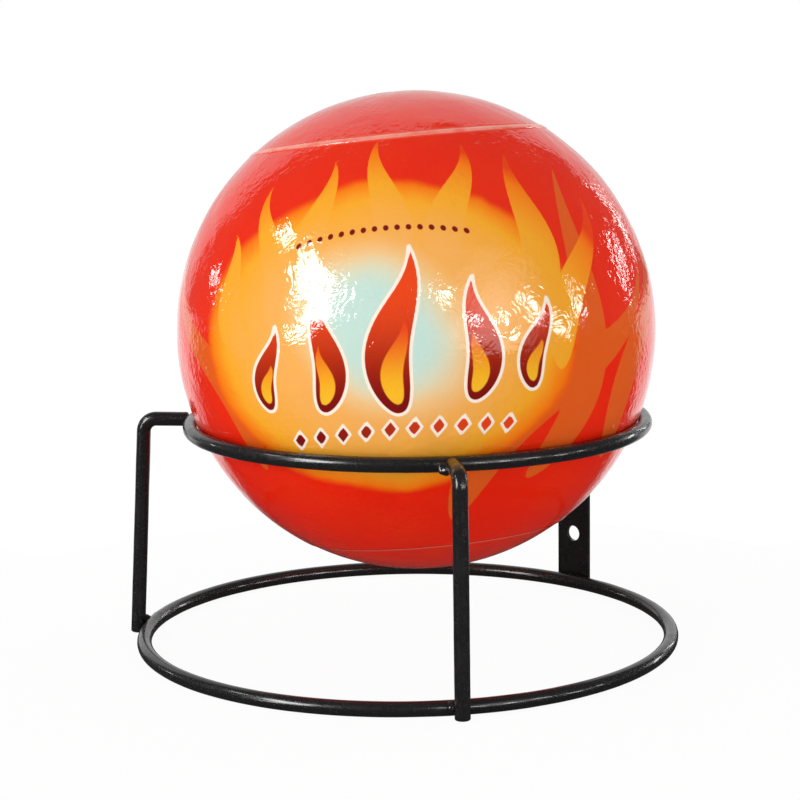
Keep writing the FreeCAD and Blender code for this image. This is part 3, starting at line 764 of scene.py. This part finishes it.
def leg_line(sizes, foot_turn, lean):
    """A leg's middle line: up from the floor at its lean, round the bend, in to the seat ring.

    Gives the line as (n, 3), the direction square to its plane, the direction outwards and the
    foot's distance.
    """
    foot_radius = sizes.base_ring + sizes.wire + sizes.weld_gap
    foot = np.array([foot_radius * math.cos(foot_turn), foot_radius * math.sin(foot_turn)])
    middle = np.array([sizes.seat_x, sizes.seat_y])
    distance = np.linalg.norm(foot - middle)
    outwards = (foot - middle) / distance
    slope, top, bend = math.tan(lean), sizes.seat_z, sizes.bend
    foot_x = distance + sizes.wire / 2 * slope
    end_x = sizes.seat_ring + sizes.wire / 2 + sizes.weld_gap
    sweep = np.linspace(lean, math.pi / 2, 24)
    tangent = bend * math.tan((math.pi / 2 - lean) / 2)
    corner_x = foot_x - top * slope
    centre_x = corner_x - tangent
    arc = np.stack([centre_x + bend * np.cos(sweep), top - bend + bend * np.sin(sweep)], -1)
    rise = np.linspace([foot_x, 0], arc[0], 46)[:-1]
    run = np.linspace(arc[-1], [end_x, top], 12)[1:]
    line = np.concatenate([rise, arc, run])
    points = np.stack([middle[0] + outwards[0] * line[:, 0], middle[1] + outwards[1] * line[:, 0],
                       line[:, 1]], -1)
    side = np.array([-outwards[1], outwards[0], 0])
    return points, side, outwards, distance


def close_ends(path, radius):
    """Add short steps at both ends of a path, where the bar's edge is rounded over."""
    steps = np.linspace(0, np.pi / 2, 5)
    inset = END_ROUNDING * (1 - np.sin(steps))
    shrink = END_ROUNDING * (1 - np.cos(steps))
    first = path[1] - path[0]
    last = path[-2] - path[-1]
    first, last = first / np.linalg.norm(first), last / np.linalg.norm(last)
    start = path[0] + first * inset[::-1, None]
    end = path[-1] + last * inset[:, None]
    core = path[1:-1]
    return (np.concatenate([start, core, end]),
            np.concatenate([radius - shrink[::-1], np.full(len(core), radius), radius - shrink]))


def bar_piece(name, path, side, sizes, material, seed):
    """An open bar: a circle carried along its line, closed at its ends and level on the floor."""
    sides = 36
    line, radius = close_ends(path, sizes.wire / 2)
    along = np.gradient(line, axis=0)
    along[:5], along[-5:] = path[1] - path[0], path[-1] - path[-2]
    along /= np.linalg.norm(along, axis=1, keepdims=True)
    side = np.broadcast_to(side, line.shape)
    out = np.cross(along, side)
    turn = np.arange(sides) * 2 * np.pi / sides
    ring = np.cos(turn)[None, :, None] * out[:, None] + np.sin(turn)[None, :, None] * side[:, None]
    points = line[:, None] + ring * radius[:, None, None]
    points = points + ring * (ripples(points, 0.005, 0.03, 16, seed) * sizes.ripple)[..., None]
    points[..., 2] = np.maximum(points[..., 2], 0)
    points = np.concatenate([points.reshape(-1, 3), path[:1], path[-1:]])
    new_piece(name + "_bar", points, closed_tube(len(line), sides), material, [name])


def bead_piece(name, middle, radii, seed, material):
    """A weld bead: a ball of three radii with lumps, sunk into the bars beside it."""
    rows, columns = 26, 40
    polar = np.linspace(0, np.pi, rows + 2)[1:-1]
    turn = np.arange(columns) * 2 * np.pi / columns
    polar, turn = np.meshgrid(polar, turn, indexing="ij")
    shape = np.stack([np.sin(polar) * np.cos(turn), np.sin(polar) * np.sin(turn), np.cos(polar)], -1)
    poles = np.array([[0, 0, 1.0], [0, 0, -1.0]])
    shape = np.concatenate([shape.reshape(-1, 3), poles])
    lumps = 1 + 0.16 * ripples(shape * 0.002, 0.0018, 0.005, 14, seed)
    points = shape * radii * lumps[:, None] + middle
    new_piece(name + "_bead", points, closed_tube(rows, columns), material, [name])


class BALL_OT_legs(Operator):
    """Make the two bent legs with the weld beads that join them to the rings"""
    bl_idname = "ball.legs"
    bl_label = "Legs and welds"

    def execute(self, context):
        sizes, colours = context.scene.ball_stand, context.scene.ball_stand_colours
        paint = black_paint(colours)
        rough = black_paint(colours, "weld_paint", 0.00006)
        legs = (("left", sizes.left_angle, sizes.left_lean),
                ("right", sizes.right_angle, sizes.right_lean))
        for number, (name, foot, lean) in enumerate(legs):
            path, side, outwards, distance = leg_line(sizes, foot, lean)
            bar_piece(f"{name}_leg", path, side, sizes, paint, 20 + number)
            half, middle = sizes.wire / 2, np.array([sizes.seat_x, sizes.seat_y])
            for place, reach, height in (
                ("top", sizes.seat_ring + half, sizes.seat_z - sizes.bead_drop),
                ("foot", distance - half, sizes.wire - sizes.bead / 2),
            ):
                flat = middle + outwards * reach - side[:2] * half
                seed = 40 + number * 2 + len(place)
                bead_piece(f"{name}_leg_{place}_weld", np.array([*flat, height]),
                           np.array([0.78, 0.78, 0.74]) * sizes.bead, seed, rough)
        return {"FINISHED"}


class BALL_OT_wall_plate(Operator):
    """Paint the wall plate"""
    bl_idname = "ball.wall_plate"
    bl_label = "Wall plate"

    def execute(self, context):
        paint_node("wall_plate", black_paint(context.scene.ball_stand_colours, "plate_paint"))
        return {"FINISHED"}


# The stage

def beside_camera(right, up, back):
    """A direction given as right, up and away from the camera's side, in the frame."""
    across = np.array([math.cos(CAMERA_TURN), math.sin(CAMERA_TURN), 0])
    away = np.array([-math.sin(CAMERA_TURN), math.cos(CAMERA_TURN), 0])
    direction = right * across + back * away + up * np.array([0, 0, 1])
    return direction / np.linalg.norm(direction)


def gleam_way(right, up):
    """Where a gleam comes from that shows on the ball at that place, as parts of its radius.

    The place gives the ball's normal n as the camera sees it, and the way is its mirror
    direction 2 (n . z) n - z with z towards the camera, turned by the camera's pitch.
    """
    normal = np.array([right, up, math.sqrt(1 - right ** 2 - up ** 2)])
    way = 2 * normal[2] * normal - np.array([0, 0, 1])
    sine, cosine = math.sin(CAMERA_PITCH), math.cos(CAMERA_PITCH)
    return beside_camera(way[0], way[1] * cosine + way[2] * sine, way[1] * sine - way[2] * cosine)


# Pale walls that only gloss sees: way, half width, softness, level
WALLS = [((-0.11, 0.37, 0.92), 0.61, 0.04, 0.8), ((-0.12, 0.76, 0.64), 0.26, 0.06, 0.8)]

# Windows and lamps that only gloss sees, by the ends of their gleams on the ball: first end,
# last end, half width, softness, part of the full level
GLEAMS = [
    ((-0.44, 0.31), (-0.40, 0.28), 0.06, 0.1, 0.8), ((-0.47, 0.23), (-0.36, 0.20), 0.07, 0.1, 1.0),
    ((-0.47, 0.14), (-0.34, 0.12), 0.07, 0.1, 1.0), ((-0.36, 0.20), (-0.30, 0.17), 0.05, 0.1, 0.8),
    ((-0.46, 0.05), (-0.34, 0.06), 0.06, 0.1, 0.9),
    ((-0.52, -0.03), (-0.43, -0.01), 0.04, 0.1, 0.8),
    ((-0.54, 0.40), (-0.50, 0.36), 0.035, 0.1, 0.8), ((-0.81, 0.26), (-0.80, 0.22), 0.03, 0.1, 0.5),
    ((0.70, 0.60), (0.90, 0.30), 0.026, 0.1, 0.30), ((0.79, 0.40), (0.855, 0.16), 0.045, 0.1, 0.45),
    ((0.09, 0.13), (0.14, 0.10), 0.04, 0.1, 0.9), ((0.22, 0.03), (0.25, -0.02), 0.04, 0.1, 0.9),
    ((0.34, 0.05), (0.36, -0.01), 0.05, 0.1, 1.0), ((0.43, 0.11), (0.48, 0.05), 0.04, 0.1, 0.8),
    ((0.55, 0.04), (0.60, -0.02), 0.045, 0.1, 0.7), ((0.64, 0.14), (0.66, 0.07), 0.035, 0.1, 0.6),
    ((0.28, 0.03), (0.34, 0.01), 0.35, 0.9, 0.12),
]


class BALL_OT_stage(Operator):
    """Make the pale floor, the white room, the lamps and the camera"""
    bl_idname = "ball.stage"
    bl_label = "Stage"

    def execute(self, context):
        levels = context.scene.ball_stage
        self.floor(context, levels)
        self.world(context, levels)
        self.lamps(context, levels)
        self.camera(context, levels)
        context.scene.view_settings.view_transform = "Standard"
        return {"FINISHED"}

    def floor(self, context, levels):
        reach = levels.floor
        corners = [(x * reach, y * reach, -FLOOR_DROP) for x, y in ((-1, -1), (1, -1), (1, 1), (-1, 1))]
        mesh = bpy.data.meshes.new("floor")
        mesh.from_pydata(corners, [], [(0, 1, 2, 3)])
        finish = Finish("white_floor")
        path = finish.node("ShaderNodeLightPath").outputs
        camera_ray = path["Is Camera Ray"]
        seen = finish.math("MAXIMUM", camera_ray, path["Is Glossy Ray"])
        seen = finish.math("MAXIMUM", seen, path["Is Transmission Ray"])
        away = finish.vector("LENGTH", finish.place())["Value"]
        clear = finish.between(away, 0.12, 0.4, 0.95, 1.0)
        towards = finish.vector("NORMALIZE", finish.place())[0]
        behind = finish.vector("DOT_PRODUCT", towards, beside_camera(0, 0, 1))["Value"]
        sweep = finish.between(behind, 0.50, 0.68)
        # Painted shadow: gloss sees the floor as an emission that is nearly black within about 0.1 to
        # 0.19 m of the middle, standing in for the shadow under the ball, and white only in a sweep
        # behind it
        reflected_floor_painted_shadow = finish.math("MULTIPLY_ADD", finish.between(away, 0.10, 0.19), sweep, 0.05)
        part = finish.math("MULTIPLY", seen, finish.math(
            "MAXIMUM", clear, finish.math("SUBTRACT", 1.0, camera_ray)))
        matt = finish.node("ShaderNodeBsdfDiffuse", {"Color": (0.86, 0.86, 0.86, 1)})
        bright = finish.node("ShaderNodeEmission", {"Color": (1, 1, 1, 1),
                             "Strength": finish.math("MAXIMUM", camera_ray, reflected_floor_painted_shadow)})
        both = finish.node("ShaderNodeMixShader", {0: part, 1: matt.outputs[0], 2: bright.outputs[0]})
        output = finish.node("ShaderNodeOutputMaterial", {0: both.outputs[0]})
        mesh.materials.append(finish.material)
        floor = bpy.data.objects.new("floor", mesh)
        context.scene.collection.objects.link(floor)

    def world(self, context, levels):
        room = Finish("white_room", "worlds")
        context.scene.world = room.material
        path = room.node("ShaderNodeLightPath").outputs
        ways = room.node("ShaderNodeTexCoord").outputs["Generated"]
        gloss = levels.front_room
        walls = [(beside_camera(*way), Vector((0, 0, 1)), (half, half, 1), soft, level)
                 for way, half, soft, level in WALLS]
        for first, last, half, soft, level in GLEAMS:
            first, last = gleam_way(*first), gleam_way(*last)
            reach = (np.linalg.norm(last - first) / 2 + half * 0.5, half, 1)
            walls.append((first + last, Vector(last - first), reach, soft, level * levels.gleams))
        for way, along, reach, soft, level in walls:
            way = Vector(way).normalized()
            across = way.cross(along).normalized()
            turned = Matrix((across.cross(way), across, way)).transposed().to_euler()
            place = room.node("ShaderNodeMapping", {"Vector": ways, "Location": way, "Scale": reach,
                              "Rotation": turned}, vector_type="TEXTURE")
            away = room.vector("LENGTH", place.outputs[0])["Value"]
            wall = room.between(away, 1 - soft, 1 + soft, level, 0)
            gloss = room.math("MAXIMUM", gloss, wall)
        seen = room.node("ShaderNodeMix", {0: path["Is Glossy Ray"], 2: levels.world_light, 3: gloss})
        seen = room.node("ShaderNodeMix", {0: path["Is Camera Ray"], 2: seen.outputs[0], 3: 1.0})
        light = room.node("ShaderNodeBackground", {"Color": (1, 1, 1, 1), "Strength": seen.outputs[0]})
        room.node("ShaderNodeOutputWorld", {0: light.outputs[0]})

    def lamps(self, context, levels):
        target = np.array([0.0, 0.0, 0.09])
        for name, way, far, size, power in (
            ("window_lamp", (-0.783, 0.32, -0.534), 1.1, (0.27, 0.46), levels.window),
            ("strip_lamp", (0.76, 0.33, 0.53), 1.1, (0.10, 0.60), levels.strip),
            ("fill_lamp", (0.66, 0.02, -0.75), 1.1, (0.28, 0.14), levels.fill),
            ("upper_lamp", (-0.1, 0.80, 0.55), 1.3, (0.6, 0.4), levels.above),
        ):
            data = bpy.data.lights.new(name, "AREA")
            data.shape = "RECTANGLE"
            data.size, data.size_y = size
            data.energy = power
            lamp = bpy.data.objects.new(name, data)
            lamp.visible_glossy = False
            context.scene.collection.objects.link(lamp)
            way = beside_camera(*way)
            lamp.location = target + way * far
            lamp.rotation_mode = "QUATERNION"
            lamp.rotation_quaternion = Vector(-way).to_track_quat("-Z", "Y")

    def camera(self, context, levels):
        data = bpy.data.cameras.new("camera")
        data.lens, data.sensor_width, data.sensor_fit = levels.lens, 36, "HORIZONTAL"
        data.clip_start, data.clip_end = 0.01, 20
        camera = bpy.data.objects.new("camera", data)
        context.scene.collection.objects.link(camera)
        yaw, pitch, roll = CAMERA_YAW, CAMERA_PITCH, CAMERA_ROLL
        forward = np.array([math.sin(yaw) * math.cos(pitch), math.cos(yaw) * math.cos(pitch),
                            -math.sin(pitch)])
        right = np.array([math.cos(yaw), -math.sin(yaw), 0])
        up = np.cross(right, forward)
        right, up = (math.cos(roll) * right - math.sin(roll) * up,
                     math.sin(roll) * right + math.cos(roll) * up)
        axes = np.stack([right, up, -forward], 1)
        turned = Matrix.Rotation(CAMERA_TURN, 3, "Z") @ Matrix(axes.tolist())
        camera.matrix_world = Matrix.Translation(CAMERA_AT) @ turned.to_4x4()
        context.scene.camera = camera


STEPS = (
    BALL_OT_printed_sleeve, BALL_OT_cap_films, BALL_OT_inside, BALL_OT_rings, BALL_OT_legs,
    BALL_OT_wall_plate, BALL_OT_stage,
)


class BALL_PT_panel(Panel):
    """The steps and the settings of the fire extinguisher ball"""
    bl_label = "Fire extinguisher ball"
    bl_idname = "BALL_PT_panel"
    bl_space_type = "VIEW_3D"
    bl_region_type = "UI"
    bl_category = "Ball"

    def draw(self, context):
        for step in STEPS:
            self.layout.operator(step.bl_idname)
        for group in SETTINGS:
            settings = getattr(context.scene, group)
            box = self.layout.box()
            for key in settings.bl_rna.properties.keys():
                if key not in {"rna_type", "name"}:
                    box.prop(settings, key)


SETTINGS = {
    "ball_sizes": BallSizes,
    "ball_print": PrintColours,
    "ball_stand": StandSizes,
    "ball_stand_colours": StandColours,
    "ball_inside": InsideColours,
    "ball_stage": StageLevels,
}


def register():
    for kind in (*SETTINGS.values(), *STEPS, BALL_PT_panel):
        bpy.utils.register_class(kind)
    for name, kind in SETTINGS.items():
        setattr(bpy.types.Scene, name, PointerProperty(type=kind))


def unregister():
    for name in SETTINGS:
        delattr(bpy.types.Scene, name)
    for kind in reversed((*SETTINGS.values(), *STEPS, BALL_PT_panel)):
        bpy.utils.unregister_class(kind)


def main():
    register()
    for step in STEPS:
        group, name = step.bl_idname.split(".")
        getattr(getattr(bpy.ops, group), name)()


if __name__ == "__main__":
    main()
